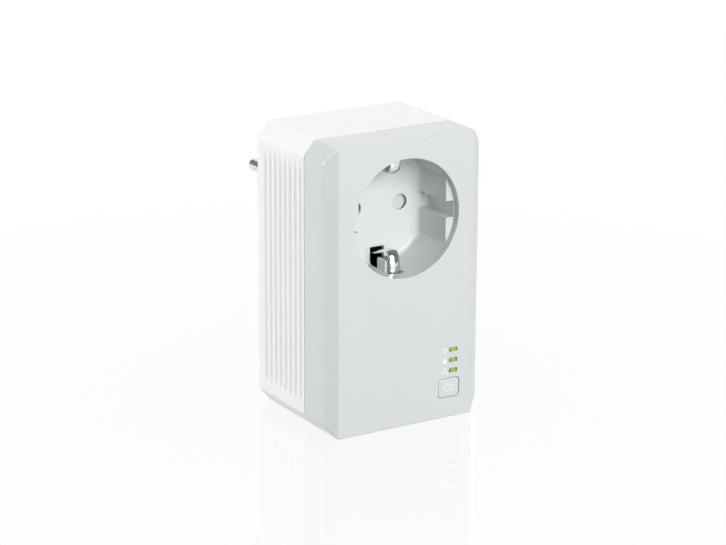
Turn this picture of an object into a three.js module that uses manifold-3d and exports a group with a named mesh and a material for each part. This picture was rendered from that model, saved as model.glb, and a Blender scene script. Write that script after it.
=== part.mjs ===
// Powerline network adapter with a pass-through socket: the adapter plugs into a wall socket
// with the round plug on its back, and offers the same socket again in its front face.
//
// Millimetres, +Z up. Every piece is drawn with x across the width, y as the depth behind the
// front face and z as the height above the base; one group then centres the whole depth.
import * as THREE from 'three';
import { mergeVertices } from 'three/addons/utils/BufferGeometryUtils.js';
import Module from 'manifold-3d';

const wasm = await Module();
wasm.setup();

// Housing
const WIDTH = 64;
const HEIGHT = 105;
const BODY_DEPTH = 49.5;
const CORNER_WIDTH = 4.4;
const CORNER_HEIGHT = 5.2;
const BEVEL_WIDTH = 4.4;
const BEVEL_DEPTH = 3.5;
const COVER_DEPTH = 16.2;
const WALL = 2.2;
const GAP = 0.3;
const TONGUE = 1.8;
const TONGUE_INSET = 1.3;
const FLUTES = 8;
const FLUTE_PITCH = 3.5;
const FLUTE_DEPTH = 0.6;
const FLUTE_RADIUS = 1.1;
const FLUTE_END = 11.3;
const FLUTE_FADE = 8;

// Socket and plug, both on one axis
const AXIS_Z = 76.5;
const MOUTH_RADIUS = 21.7;
const WELL_RADIUS = 21.5;
const WELL_DEPTH = 20;
const WELL_FLAT = 17.6;
const WELL_LEDGE = 3;
const WELL_FLOOR = 1.6;
const WELL_RING = 25.2;
const KEY_HALF = 3;
const KEY_REACH = 20.8;
const PIN_OFFSET = 9.5;
const PIN_RADIUS = 2.4;
const PIN_HOLE = 2.9;
const PIN_LENGTH = 19;
const PLINTH = 7.5;
const PLINTH_HALF = 22;
const PLINTH_CORNER = 5.2;
const BOSS_LENGTH = 17.5;
const BOSS_RADIUS = 18.5;
const BOSS_FLAT = 16.9;
const BOSS_RIB = 2.7;
const PLUG_FLANGE = 19.4;
const PLUG_CAVITY = 12.7;
const PIN_START = 60;
const CLIP_HALF = 2.2;
const CLIP_WINDOW_HALF = 2.9;
const CLIP_WINDOW_NEAR = 6.2;
const CLIP_SLOT_INNER = 15;
const SADDLE_NEAR = 9.6;
const SADDLE_FAR = 15;
const SADDLE_REACH = 17.3;
const CLIP_THICKNESS = 0.8;
const CLIP_ROUTE = [
  [27.5, 17.3], [22, 16.9], [18.5, 16.2], [15, 15.1], [12, 14.2],
  [10, 14.2], [8.4, 15.8], [7.6, 19], [7.5, 23.4],
];
const CLIP_STEPS = 22;
const ARM_HALF = 2.6;
const HUB_RADIUS = 4.4;
const SPINDLE_RADIUS = 2;
const SPRING_RADIUS = 3.2;
const SPRING_WIRE = 0.35;
const CARRIER_HALF = 16;
const CARRIER_RISE = 12.3;
const FOOT_X = 14.7;
const FOOT_Z = 11.1;
const SLEEVE_OUTER = 3.5;
const SLEEVE_INNER = 2.55;
const SLEEVE_BORE = 3.9;
const BAR_HALF = 2;
const CORE_OUTER = 5;
const CORE_INNER = 2.9;
const EARTH_HALF = 3;
const EARTH_LEVEL_FRONT = 17;
const EARTH_LEVEL_BACK = 16;
const STRIP_ROUTE = [[50.5, 16], [58, 16], [63, 16.6], [68, 16.6], [73.6, 16]];
const STRIP_STEPS = 12;
const STRIP_SLOT_HALF = 3.7;
const STRIP_SLOT_INNER = 15.2;

// Button and lights
const BUTTON_X = 18.3;
const BUTTON_Z = 11.1;
const BUTTON_WIDTH = 8.5;
const BUTTON_HEIGHT = 6.9;
const BUTTON_CORNER = 1.1;
const BUTTON_CAP = 3.2;
const BUTTON_STEM = 1.8;
const BUTTON_STEM_END = 9.2;
const SWITCH_HALF = 3;
const PLUNGER_RADIUS = 1.5;
const LIGHT_X = 20;
const LIGHT_TOP = 25.3;
const LIGHT_PITCH = 3.9;
const LIGHT_WIDTH = 3.4;
const LIGHT_HEIGHT = 1.4;
const LIGHT_NAMES = ['power', 'powerline', 'ethernet'];

// Boards and fixings
const BOARD_THICKNESS = 1.6;
const BOARD_HALF = 22.5;
const BOARD_LOW = 4;
const BOARD_HIGH = 50;
const MODEM_BOARD = 15;
const POWER_BOARD = 41;
const SCREW_X = 26.2;
const SCREW_Z = 8.6;
const CASE_POST = 2.7;
const CASE_BORE = 1.55;
const CASE_TUBE = 3.4;
const CASE_SEAT = 24;
const CASE_HEAD = 2.4;
const CASE_SHANK = 1.25;
const CASE_HEAD_HOLE = 2.8;
const CASE_SHANK_HOLE = 1.7;
const BOARD_POST = 2.6;
const BOARD_BORE = 1.3;
const BOARD_HEAD = 2;
const BOARD_HEAD_DEPTH = 1.4;
const BOARD_SHANK = 1;

// Network jack, open at the base
const JACK_HALF = 8;
const JACK_NEAR = MODEM_BOARD + BOARD_THICKNESS + GAP;
const JACK_FAR = JACK_NEAR + 13.5;
const JACK_LOW = 2.6;
const JACK_HIGH = 18.6;
const JACK_SKIN = 0.4;
const PORT_HALF = 5.95;
const PORT_TOP = 15.6;
const LATCH_HALF = 3.1;
const JACK_WIRES = 8;
const JACK_PITCH = 1.27;
const WIRE_HALF = 0.23;

const FLOOR_BACK = WELL_DEPTH + WELL_FLOOR;
const SHUTTER_NEAR = FLOOR_BACK + GAP;
const SHUTTER_FAR = SHUTTER_NEAR + 1.6;
const CARRIER_NEAR = SHUTTER_FAR + 0.4;
const CARRIER_FAR = CARRIER_NEAR + 12.5;
const PLINTH_FACE = BODY_DEPTH + PLINTH;
const BOSS_FACE = PLINTH_FACE + BOSS_LENGTH;
const TOTAL_DEPTH = BOSS_FACE + PIN_LENGTH;

const SIDES = { left: -1, right: 1 };
const ENDS = { lower: -1, upper: 1 };
const ROUND = 20;
const FEW_SIDES = 12;
const FINE_ROUND = 48;

// ---------------------------------------------------------------- solids

function toSolid(geometry) {
  const bare = geometry.clone();
  bare.deleteAttribute('normal');
  bare.deleteAttribute('uv');
  const merged = mergeVertices(bare);
  return new wasm.Manifold(new wasm.Mesh({
    numProp: 3,
    vertProperties: new Float32Array(merged.attributes.position.array),
    triVerts: new Uint32Array(merged.index.array),
  }));
}

function toGeometry(solid) {
  const { vertProperties, triVerts } = solid.getMesh();
  const geometry = new THREE.BufferGeometry();
  geometry.setAttribute('position', new THREE.BufferAttribute(vertProperties, 3));
  geometry.setIndex(new THREE.BufferAttribute(triVerts, 1));
  geometry.computeVertexNormals();
  return geometry;
}

function join(...pieces) {
  return toGeometry(pieces.map(toSolid).reduce((whole, piece) => whole.add(piece)));
}

function cut(base, ...tools) {
  return toGeometry(tools.map(toSolid).reduce((rest, tool) => rest.subtract(tool), toSolid(base)));
}

function common(a, b) {
  return toGeometry(toSolid(a).intersect(toSolid(b)));
}

// ---------------------------------------------------------------- plain shapes

function outline(points) {
  return new THREE.Shape(points.map(([a, b]) => new THREE.Vector2(a, b)));
}

function roundedRectangle(width, height, radius, x = 0, z = 0) {
  const right = width / 2 - radius;
  const top = height / 2 - radius;
  const shape = new THREE.Shape();
  shape.absarc(x + right, z + top, radius, 0, Math.PI / 2);
  shape.absarc(x - right, z + top, radius, Math.PI / 2, Math.PI);
  shape.absarc(x - right, z - top, radius, Math.PI, 1.5 * Math.PI);
  shape.absarc(x + right, z - top, radius, 1.5 * Math.PI, 2 * Math.PI);
  return shape;
}

// An outline drawn in x and z, extruded from one depth to another.
function alongDepth(shape, near, far) {
  const options = { depth: far - near, bevelEnabled: false, curveSegments: 4 };
  const geometry = new THREE.ExtrudeGeometry(shape, options);
  geometry.rotateX(Math.PI / 2);
  geometry.translate(0, far, 0);
  return geometry;
}

// An outline drawn in x and depth, extruded from one height to another.
function alongHeight(shape, low, high) {
  const geometry = new THREE.ExtrudeGeometry(shape, { depth: high - low, bevelEnabled: false });
  geometry.translate(0, 0, low);
  return geometry;
}

// An outline drawn in depth and height, extruded across x.
function acrossWidth(shape, left, right) {
  const geometry = new THREE.ExtrudeGeometry(shape, { depth: right - left, bevelEnabled: false });
  geometry.rotateX(Math.PI / 2);
  geometry.rotateZ(Math.PI / 2);
  geometry.translate(left, 0, 0);
  return geometry;
}

function block([left, right], [near, far], [low, high]) {
  const geometry = new THREE.BoxGeometry(right - left, far - near, high - low);
  geometry.translate((left + right) / 2, (near + far) / 2, (low + high) / 2);
  return geometry;
}

// A round bar along the depth.
function rod(radius, near, far, x = 0, z = AXIS_Z, sides = ROUND) {
  const geometry = new THREE.CylinderGeometry(radius, radius, far - near, sides);
  geometry.translate(x, (near + far) / 2, z);
  return geometry;
}

// A solid of revolution about an axis along the depth, from pairs of radius and depth.
function turned(profile, x = 0, z = AXIS_Z, sides = ROUND) {
  const geometry = new THREE.LatheGeometry(profile.map(([r, y]) => new THREE.Vector2(r, y)), sides);
  geometry.translate(x, 0, z);
  return geometry;
}

function tube(outer, inner, near, far, x = 0, z = AXIS_Z, sides = ROUND) {
  return turned([[outer, near], [outer, far], [inner, far], [inner, near], [outer, near]], x, z, sides);
}

// The outline of a bent strip: its route in depth and height, with half its thickness each side.
function stripOutline(route, thickness) {
  const offset = (reach) => route.map((point, i) => {
    const before = route[Math.max(i - 1, 0)];
    const after = route[Math.min(i + 1, route.length - 1)];
    const along = after.clone().sub(before).normalize();
    return new THREE.Vector2(point.x - along.y * reach, point.y + along.x * reach);
  });
  return new THREE.Shape([...offset(thickness / 2), ...offset(-thickness / 2).reverse()]);
}

function smoothRoute(points, steps) {
  return new THREE.SplineCurve(points.map(([a, b]) => new THREE.Vector2(a, b))).getPoints(steps);
}

// ---------------------------------------------------------------- housing

// The body's outline with its cut corners, every edge moved inwards by the inset.
function bodyOutline(inset) {
  const side = WIDTH / 2 - inset;
  const low = inset;
  const high = HEIGHT - inset;
  const across = new THREE.Vector2(CORNER_HEIGHT, CORNER_WIDTH).normalize();
  const reach = across.dot(new THREE.Vector2(WIDTH / 2, HEIGHT - CORNER_HEIGHT)) - inset;
  const x = (reach - across.y * high) / across.x;
  const z = (reach - across.x * side) / across.y;
  return outline([
    [-x, low], [x, low], [side, HEIGHT - z], [side, z],
    [x, high], [-x, high], [-side, z], [-side, HEIGHT - z],
  ]);
}

// The wedge that a side bevel takes off the front, moved inwards by the inset.
function bevelWedge(direction, inset) {
  const slope = new THREE.Vector2(BEVEL_WIDTH, BEVEL_DEPTH);
  const inwards = new THREE.Vector2(-slope.y, slope.x).setLength(inset);
  const start = new THREE.Vector2(WIDTH / 2 - BEVEL_WIDTH, 0).add(inwards).sub(slope);
  const end = start.clone().addScaledVector(slope, 3);
  const corners = [start, end, new THREE.Vector2(end.x, start.y)];
  return alongHeight(outline(corners.map((p) => [direction * p.x, p.y])), -1, HEIGHT + 1);
}

function coverBlock(inset, near, far) {
  const plain = alongDepth(bodyOutline(inset), near, far);
  return cut(plain, bevelWedge(-1, inset), bevelWedge(1, inset));
}

function lightHeight(index) {
  return LIGHT_TOP - index * LIGHT_PITCH;
}

function atCaseScrews(make) {
  const corners = Object.values(SIDES).flatMap((side) => Object.values(ENDS).map((end) => [side, end]));
  return corners.map(([side, end]) => {
    const z = HEIGHT / 2 + end * (HEIGHT / 2 - SCREW_Z);
    return make(side * SCREW_X, z);
  });
}

const MODEM_SCREWS = [[-18.5, 8], [-18.5, 46]];
const POWER_SCREWS = [[-18.5, 8], [18.5, 46]];

function frontCover() {
  const skin = cut(coverBlock(0, 0, COVER_DEPTH), coverBlock(WALL, WALL, COVER_DEPTH + 1));
  const tongue = cut(
    alongDepth(bodyOutline(TONGUE_INSET), COVER_DEPTH - 1, COVER_DEPTH + TONGUE),
    alongDepth(bodyOutline(WALL), COVER_DEPTH - 2, COVER_DEPTH + TONGUE + 1),
  );
  const casePosts = atCaseScrews((x, z) => rod(CASE_POST, WALL / 2, COVER_DEPTH, x, z));
  const boardPosts = MODEM_SCREWS.map(([x, z]) => rod(BOARD_POST, WALL / 2, MODEM_BOARD - GAP, x, z));
  const caseBores = atCaseScrews((x, z) => rod(CASE_BORE, 6, COVER_DEPTH + 1, x, z, FEW_SIDES));
  const boardBores = MODEM_SCREWS.map(([x, z]) => rod(BOARD_BORE, 8, COVER_DEPTH, x, z, FEW_SIDES));
  const lightHoles = LIGHT_NAMES.map((_, i) => alongDepth(
    roundedRectangle(LIGHT_WIDTH + 2 * GAP, LIGHT_HEIGHT + 2 * GAP, 0.5, LIGHT_X, lightHeight(i)),
    -1, WALL + 1,
  ));
  const buttonHole = alongDepth(roundedRectangle(
    BUTTON_WIDTH + 2 * GAP, BUTTON_HEIGHT + 2 * GAP, BUTTON_CORNER + GAP, BUTTON_X, BUTTON_Z,
  ), -1, WALL + 1);
  const mouth = rod(MOUTH_RADIUS, -1, WALL + 1, 0, AXIS_Z, FINE_ROUND);
  return cut(
    join(skin, tongue, ...casePosts, ...boardPosts),
    ...caseBores, ...boardBores, ...lightHoles, buttonHole, mouth,
  );
}

// A long shallow groove whose depth fades out at both ends.
function flute(direction, depth) {
  const tip = FLUTE_RADIUS - FLUTE_DEPTH;
  const low = FLUTE_END;
  const high = HEIGHT - FLUTE_END;
  const geometry = new THREE.LatheGeometry([
    [0, low], [tip, low], [FLUTE_RADIUS, low + FLUTE_FADE],
    [FLUTE_RADIUS, high - FLUTE_FADE], [tip, high], [0, high],
  ].map(([r, z]) => new THREE.Vector2(r, z)), 12);
  geometry.rotateX(Math.PI / 2);
  geometry.translate(direction * (WIDTH / 2 + tip), depth, 0);
  return geometry;
}

function plinthOutline(inset) {
  const half = PLINTH_HALF - inset;
  const corner = PLINTH_CORNER - inset * (2 - Math.SQRT2);
  const ring = [[half - corner, half], [half, half - corner]];
  const turn = ([x, z]) => [z, -x];
  const points = [];
  for (let quarter = 0, pair = ring; quarter < 4; quarter += 1, pair = pair.map(turn)) {
    points.push(...pair);
  }
  return outline(points.map(([x, z]) => [x, z + AXIS_Z]));
}

function rearHousing() {
  const start = COVER_DEPTH + GAP;
  const lipEnd = COVER_DEPTH + TONGUE + GAP;
  const outer = join(
    alongDepth(bodyOutline(0), start, BODY_DEPTH),
    alongDepth(plinthOutline(0), BODY_DEPTH - 1, PLINTH_FACE),
  );
  const shell = cut(
    outer,
    alongDepth(bodyOutline(WALL), start - 1, BODY_DEPTH - WALL),
    alongDepth(bodyOutline(TONGUE_INSET - GAP), start - 1, lipEnd),
    alongDepth(plinthOutline(WALL), BODY_DEPTH - WALL - 1, PLINTH_FACE - WALL),
  );
  const caseTubes = atCaseScrews((x, z) => rod(CASE_TUBE, start, BODY_DEPTH - 1, x, z));
  const boardPosts = POWER_SCREWS.map(([x, z]) => {
    return rod(BOARD_POST, POWER_BOARD + BOARD_THICKNESS + GAP, BODY_DEPTH - 1, x, z);
  });
  const shankHoles = atCaseScrews((x, z) => rod(CASE_SHANK_HOLE, start - 1, CASE_SEAT + 1, x, z, FEW_SIDES));
  const headHoles = atCaseScrews((x, z) => rod(CASE_HEAD_HOLE, CASE_SEAT, BODY_DEPTH + 1, x, z));
  const boardBores = POWER_SCREWS.map(([x, z]) => {
    return rod(BOARD_BORE, POWER_BOARD, BODY_DEPTH - 1, x, z, FEW_SIDES);
  });
  const flutes = Object.values(SIDES).flatMap((side) => Array.from({ length: FLUTES }, (_, i) => {
    return flute(side, COVER_DEPTH + FLUTE_PITCH * (i + 0.75));
  }));
  const bossHole = rod(BOSS_RADIUS + GAP, BODY_DEPTH, PLINTH_FACE + 1, 0, AXIS_Z, FINE_ROUND);
  const jackWindow = block(
    [-JACK_HALF - GAP, JACK_HALF + GAP], [JACK_NEAR + 0.9, JACK_FAR + GAP], [-1, WALL + 1],
  );
  return cut(
    join(shell, ...caseTubes, ...boardPosts),
    ...shankHoles, ...headHoles, ...boardBores, ...flutes, bossHole, jackWindow,
  );
}

function caseScrew(x, z) {
  const head = rod(CASE_HEAD, CASE_SEAT + GAP, CASE_SEAT + 2.3, x, z);
  const shank = rod(CASE_SHANK, 8, CASE_SEAT + 1, x, z, FEW_SIDES);
  const socket = rod(1.1, CASE_SEAT + 1.2, CASE_SEAT + 3, x, z, 6);
  return cut(join(head, shank), socket);
}

// A small board screw: its head rests against one face of the board, its shank points the other way.
function boardScrew(x, z, headNear, shankTo) {
  const head = rod(BOARD_HEAD, headNear, headNear + BOARD_HEAD_DEPTH, x, z);
  const from = headNear + BOARD_HEAD_DEPTH / 2;
  const shank = rod(BOARD_SHANK, Math.min(shankTo, from), Math.max(shankTo, from), x, z, FEW_SIDES);
  return join(head, shank);
}

// ---------------------------------------------------------------- socket

// From one reach to another, measured from the axis towards one end of the body.
function fromAxis(end, reachA, reachB) {
  return [AXIS_Z + end * reachA, AXIS_Z + end * reachB].sort((a, b) => a - b);
}

// The slot in the floor that lets an earth clip out, and the one in the wall that takes its tip.
function clipOpenings(end) {
  const across = [-CLIP_WINDOW_HALF, CLIP_WINDOW_HALF];
  const outer = WELL_RING + 1;
  return [
    block(across, [SADDLE_FAR, FLOOR_BACK + 1], fromAxis(end, CLIP_SLOT_INNER, outer)),
    block(across, [CLIP_WINDOW_NEAR, SADDLE_NEAR], fromAxis(end, SADDLE_REACH, outer)),
  ];
}

// The rib under an earth clip, between the two slots.
function clipSaddle(end) {
  const across = [-CLIP_WINDOW_HALF, CLIP_WINDOW_HALF];
  return block(across, [SADDLE_NEAR, SADDLE_FAR], fromAxis(end, SADDLE_REACH, WELL_RADIUS + 1));
}

function socketWell() {
  const near = WALL + GAP;
  const outer = join(
    rod(WELL_RADIUS + 2, near, FLOOR_BACK, 0, AXIS_Z, FINE_ROUND),
    rod(WELL_RING, near, near + 1.8, 0, AXIS_Z, FINE_ROUND),
  );
  const rim = rod(WELL_RADIUS, near - 1, WELL_LEDGE, 0, AXIS_Z, FINE_ROUND);
  const flatSided = common(
    rod(WELL_RADIUS, near - 1, WELL_DEPTH, 0, AXIS_Z, FINE_ROUND),
    block([-WELL_FLAT, WELL_FLAT], [near - 1, WELL_DEPTH], [AXIS_Z - WELL_RADIUS, AXIS_Z + WELL_RADIUS]),
  );
  const keyway = block(
    [-KEY_REACH, KEY_REACH], [near - 1, WELL_DEPTH], [AXIS_Z - KEY_HALF, AXIS_Z + KEY_HALF],
  );
  const pinHoles = Object.values(SIDES).map((side) => {
    return rod(PIN_HOLE, WELL_DEPTH - 1, FLOOR_BACK + 1, side * PIN_OFFSET);
  });
  const ends = Object.values(ENDS);
  const hollow = cut(outer, rim, flatSided, keyway);
  return cut(join(hollow, ...ends.map(clipSaddle)), ...pinHoles, ...ends.flatMap(clipOpenings));
}

function shutter() {
  const arm = block(
    [-PIN_OFFSET, PIN_OFFSET], [SHUTTER_NEAR, SHUTTER_FAR], [AXIS_Z - ARM_HALF, AXIS_Z + ARM_HALF],
  );
  const lobes = Object.values(SIDES).map((side) => {
    return rod(PIN_HOLE + 0.7, SHUTTER_NEAR, SHUTTER_FAR, side * PIN_OFFSET);
  });
  const hub = rod(HUB_RADIUS, SHUTTER_NEAR, SHUTTER_FAR);
  const spindle = rod(SPINDLE_RADIUS, SHUTTER_NEAR, CARRIER_NEAR + 3.6);
  return join(hub, arm, spindle, ...lobes);
}

class Helix extends THREE.Curve {
  constructor(radius, near, far, turns) {
    super();
    Object.assign(this, { radius, near, far, turns });
  }

  getPoint(t, target = new THREE.Vector3()) {
    const angle = 2 * Math.PI * this.turns * t;
    const y = this.near + (this.far - this.near) * t;
    return target.set(this.radius * Math.cos(angle), y, AXIS_Z + this.radius * Math.sin(angle));
  }
}

function shutterSpring() {
  const wire = new THREE.Shape().absarc(0, 0, SPRING_WIRE, 0, 2 * Math.PI);
  const path = new Helix(SPRING_RADIUS, CARRIER_NEAR + 0.8, CARRIER_NEAR + 3.4, 3);
  const options = { steps: 42, extrudePath: path, bevelEnabled: false, curveSegments: 3 };
  return new THREE.ExtrudeGeometry(wire, options);
}

function contactCarrier() {
  const body = block(
    [-CARRIER_HALF, CARRIER_HALF],
    [CARRIER_NEAR, CARRIER_FAR],
    [AXIS_Z - CARRIER_RISE, AXIS_Z + CARRIER_RISE],
  );
  const feet = Object.values(SIDES).flatMap((side) => Object.values(ENDS).map((end) => {
    const x = side * FOOT_X;
    const z = AXIS_Z + end * FOOT_Z;
    return block([x - 1.3, x + 1.3], [SHUTTER_NEAR, CARRIER_NEAR + 1], [z - 1.2, z + 1.2]);
  }));
  const bores = Object.values(SIDES).map((side) => {
    return rod(SLEEVE_BORE, CARRIER_NEAR - 1, CARRIER_FAR + 1, side * PIN_OFFSET);
  });
  const springPocket = rod(4.2, CARRIER_NEAR - 1, CARRIER_NEAR + 4.4);
  return cut(join(body, ...feet), ...bores, springPocket);
}

function contactSleeve(side) {
  const x = side * PIN_OFFSET;
  const near = CARRIER_NEAR + GAP;
  const far = CARRIER_FAR + GAP;
  const slit = block([x - 0.4, x + 0.4], [near - 1, near + 9], [AXIS_Z - 5, AXIS_Z + 5]);
  return cut(tube(SLEEVE_OUTER, SLEEVE_INNER, near, far, x), slit);
}

// A sprung earth clip: it enters through the floor, bulges towards the axis and ends outside the wall.
function socketEarthClip(end) {
  const points = CLIP_ROUTE.map(([depth, reach]) => [depth, AXIS_Z + end * reach]);
  const route = smoothRoute(points, CLIP_STEPS);
  return acrossWidth(stripOutline(route, CLIP_THICKNESS), -CLIP_HALF, CLIP_HALF);
}

// ---------------------------------------------------------------- through connections

function lineBar(side) {
  const x = side * PIN_OFFSET;
  const across = [x - BAR_HALF, x + BAR_HALF];
  return join(
    block(across, [CARRIER_FAR + 0.8, 59.6], [AXIS_Z - 0.6, AXIS_Z + 0.6]),
    block(across, [POWER_BOARD + 0.2, POWER_BOARD + 1.4], [BOARD_HIGH + GAP, AXIS_Z]),
  );
}

function noiseCore(side) {
  return tube(CORE_OUTER, CORE_INNER, 44, 50, side * PIN_OFFSET);
}

function earthBar() {
  const across = [-EARTH_HALF, EARTH_HALF];
  const bend = [38, 39];
  const arms = Object.values(ENDS).flatMap((end) => {
    const level = (reach) => {
      const z = AXIS_Z + end * reach;
      return [z - 0.5, z + 0.5];
    };
    return [
      block(across, [28.3, 38.5], level(EARTH_LEVEL_FRONT)),
      block(across, [38.5, 50.2], level(EARTH_LEVEL_BACK)),
    ];
  });
  const reach = EARTH_LEVEL_FRONT + 0.5;
  return join(block(across, bend, [AXIS_Z - reach, AXIS_Z + reach]), ...arms);
}

// ---------------------------------------------------------------- plug

function plugBody() {
  const inside = PLINTH_FACE - WALL - GAP;
  const tall = [AXIS_Z - BOSS_RADIUS, AXIS_Z + BOSS_RADIUS];
  const boss = common(
    rod(BOSS_RADIUS, 50.5, BOSS_FACE, 0, AXIS_Z, FINE_ROUND),
    join(
      block([-BOSS_FLAT, BOSS_FLAT], [50, BOSS_FACE + 1], tall),
      block([-BOSS_RADIUS, BOSS_RADIUS], [50, BOSS_FACE + 1], [AXIS_Z - BOSS_RIB, AXIS_Z + BOSS_RIB]),
    ),
  );
  const flange = rod(PLUG_FLANGE, inside - 2.5, inside, 0, AXIS_Z, FINE_ROUND);
  const cavity = rod(PLUG_CAVITY, 50, BOSS_FACE - 3);
  const pinHoles = Object.values(SIDES).map((side) => {
    return rod(PIN_RADIUS + GAP, BOSS_FACE - 4, BOSS_FACE + 1, side * PIN_OFFSET);
  });
  const stripSlots = Object.values(ENDS).map((end) => {
    const inner = AXIS_Z + end * STRIP_SLOT_INNER;
    const outer = AXIS_Z + end * (BOSS_RADIUS + 3);
    return block(
      [-STRIP_SLOT_HALF, STRIP_SLOT_HALF],
      [50, BOSS_FACE + 1],
      [Math.min(inner, outer), Math.max(inner, outer)],
    );
  });
  return cut(join(boss, flange), cavity, ...pinHoles, ...stripSlots);
}

function plugPin(side) {
  const tip = TOTAL_DEPTH;
  const profile = [[0, PIN_START], [PIN_RADIUS, PIN_START]];
  const steps = 5;
  for (let i = 0; i <= steps; i += 1) {
    const angle = (i / steps) * (Math.PI / 2);
    profile.push([PIN_RADIUS * Math.cos(angle), tip - PIN_RADIUS * (1 - Math.sin(angle))]);
  }
  profile[profile.length - 1][0] = 0;
  return turned(profile, side * PIN_OFFSET);
}

function plugEarthStrip(end) {
  const points = STRIP_ROUTE.map(([depth, reach]) => [depth, AXIS_Z + end * reach]);
  const route = smoothRoute(points, STRIP_STEPS);
  return acrossWidth(stripOutline(route, 1), -EARTH_HALF, EARTH_HALF);
}

// ---------------------------------------------------------------- button and lights

function pairButton() {
  const shape = roundedRectangle(BUTTON_WIDTH, BUTTON_HEIGHT, BUTTON_CORNER, BUTTON_X, BUTTON_Z);
  const skirt = roundedRectangle(
    BUTTON_WIDTH + 1.3, BUTTON_HEIGHT + 1.6, BUTTON_CORNER, BUTTON_X, BUTTON_Z,
  );
  const cap = alongDepth(shape, 0, BUTTON_CAP);
  const flange = alongDepth(skirt, WALL + GAP, 3.6);
  const stem = rod(BUTTON_STEM, BUTTON_CAP, BUTTON_STEM_END, BUTTON_X, BUTTON_Z);
  return join(cap, flange, stem);
}

function tactSwitch() {
  const body = block(
    [BUTTON_X - SWITCH_HALF, BUTTON_X + SWITCH_HALF],
    [11.3, MODEM_BOARD - GAP],
    [BUTTON_Z - SWITCH_HALF, BUTTON_Z + SWITCH_HALF],
  );
  return cut(body, rod(PLUNGER_RADIUS + GAP, 10, 13, BUTTON_X, BUTTON_Z));
}

function switchPlunger() {
  return rod(PLUNGER_RADIUS, 9.5, 12, BUTTON_X, BUTTON_Z);
}

function lightGuide(index) {
  const shape = roundedRectangle(LIGHT_WIDTH, LIGHT_HEIGHT, 0.3, LIGHT_X, lightHeight(index));
  return alongDepth(shape, 0, MODEM_BOARD - 1.9);
}

function statusLed(index) {
  const z = lightHeight(index);
  return block([LIGHT_X - 1.5, LIGHT_X + 1.5], [MODEM_BOARD - 1.5, MODEM_BOARD - GAP], [z - 0.8, z + 0.8]);
}

// ---------------------------------------------------------------- network jack

function jackShield() {
  const skin = block([-JACK_HALF, JACK_HALF], [JACK_NEAR, JACK_FAR], [JACK_LOW, JACK_HIGH]);
  const inside = block(
    [JACK_SKIN - JACK_HALF, JACK_HALF - JACK_SKIN],
    [JACK_NEAR + JACK_SKIN, JACK_FAR - JACK_SKIN],
    [JACK_LOW - 1, JACK_HIGH - JACK_SKIN],
  );
  return cut(skin, inside);
}

function jackBody() {
  const inset = JACK_SKIN + GAP;
  const near = JACK_NEAR + inset;
  const far = JACK_FAR - inset;
  const low = JACK_LOW + GAP;
  const body = block([inset - JACK_HALF, JACK_HALF - inset], [near, far], [low, JACK_HIGH - inset]);
  const cavity = block([-PORT_HALF, PORT_HALF], [near + 1.4, near + 9.9], [low - 1, PORT_TOP]);
  const latchSlot = block([-LATCH_HALF, LATCH_HALF], [near + 9, near + 11.3], [low - 1, PORT_TOP]);
  return cut(body, cavity, latchSlot);
}

function jackContacts() {
  const near = JACK_NEAR + JACK_SKIN + GAP + 1.7;
  const bar = block([-5.2, 5.2], [near, near + 1.2], [12.6, 15.2]);
  const route = [[near + 0.6, 13], [near + 1, 10], [near + 2.2, 6.5]];
  const wire = stripOutline(route.map(([y, z]) => new THREE.Vector2(y, z)), 0.45);
  const wires = Array.from({ length: JACK_WIRES }, (_, i) => {
    const x = (i - (JACK_WIRES - 1) / 2) * JACK_PITCH;
    return acrossWidth(wire, x - WIRE_HALF, x + WIRE_HALF);
  });
  return join(bar, ...wires);
}

// ---------------------------------------------------------------- boards and what they carry

function board(near, holes) {
  const far = near + BOARD_THICKNESS;
  const plate = block([-BOARD_HALF, BOARD_HALF], [near, far], [BOARD_LOW, BOARD_HIGH]);
  return cut(plate, ...holes.map(([x, z]) => rod(BOARD_BORE, near - 1, far + 1, x, z, FEW_SIDES)));
}

// A rectangular component standing on the back of the modem board.
function onModemBoard(x, z, width, height, tall) {
  const near = MODEM_BOARD + BOARD_THICKNESS + GAP;
  return block([x - width / 2, x + width / 2], [near, near + tall], [z - height / 2, z + height / 2]);
}

// A rectangular component standing on the front of the power board.
function onPowerBoard(x, z, width, height, tall) {
  const far = POWER_BOARD - GAP;
  return block([x - width / 2, x + width / 2], [far - tall, far], [z - height / 2, z + height / 2]);
}

function heatSink(x, z) {
  const near = MODEM_BOARD + BOARD_THICKNESS + 2 * GAP + 1.4;
  const half = 7;
  const fins = 5;
  const pitch = 2 * half / (fins - 0.5);
  const slots = Array.from({ length: fins - 1 }, (_, i) => {
    const left = x - half + pitch * (i + 0.5);
    return block([left, left + pitch / 2], [near + 1.5, near + 8], [z - half - 1, z + half + 1]);
  });
  return cut(block([x - half, x + half], [near, near + 6], [z - half, z + half]), ...slots);
}

function crystal(x, z) {
  const can = roundedRectangle(10.4, 4.4, 2.1, x, z);
  const near = MODEM_BOARD + BOARD_THICKNESS + GAP;
  return alongDepth(can, near, near + 3.2);
}

// A core with a winding around its middle, standing on the power board.
function powerTransformer(x, z) {
  const core = { width: 15, height: 14, tall: 12.5 };
  const winding = { width: 11, height: 17, tall: 10 };
  return join(
    onPowerBoard(x, z, core.width, core.height, core.tall),
    onPowerBoard(x, z, winding.width, winding.height, winding.tall),
  );
}

function bulkCapacitor(x, z) {
  const radius = 4;
  const length = 15;
  const geometry = new THREE.CylinderGeometry(radius, radius, length, ROUND);
  geometry.rotateX(Math.PI / 2);
  geometry.translate(x, POWER_BOARD - GAP - radius, z);
  return geometry;
}

function filterChoke(x, z) {
  const ringRadius = 4.6;
  const coil = 2.2;
  const ring = new THREE.TorusGeometry(ringRadius, coil, 8, ROUND);
  ring.rotateX(Math.PI / 2);
  ring.translate(x, POWER_BOARD - GAP - coil - 0.2, z);
  return ring;
}

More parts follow.
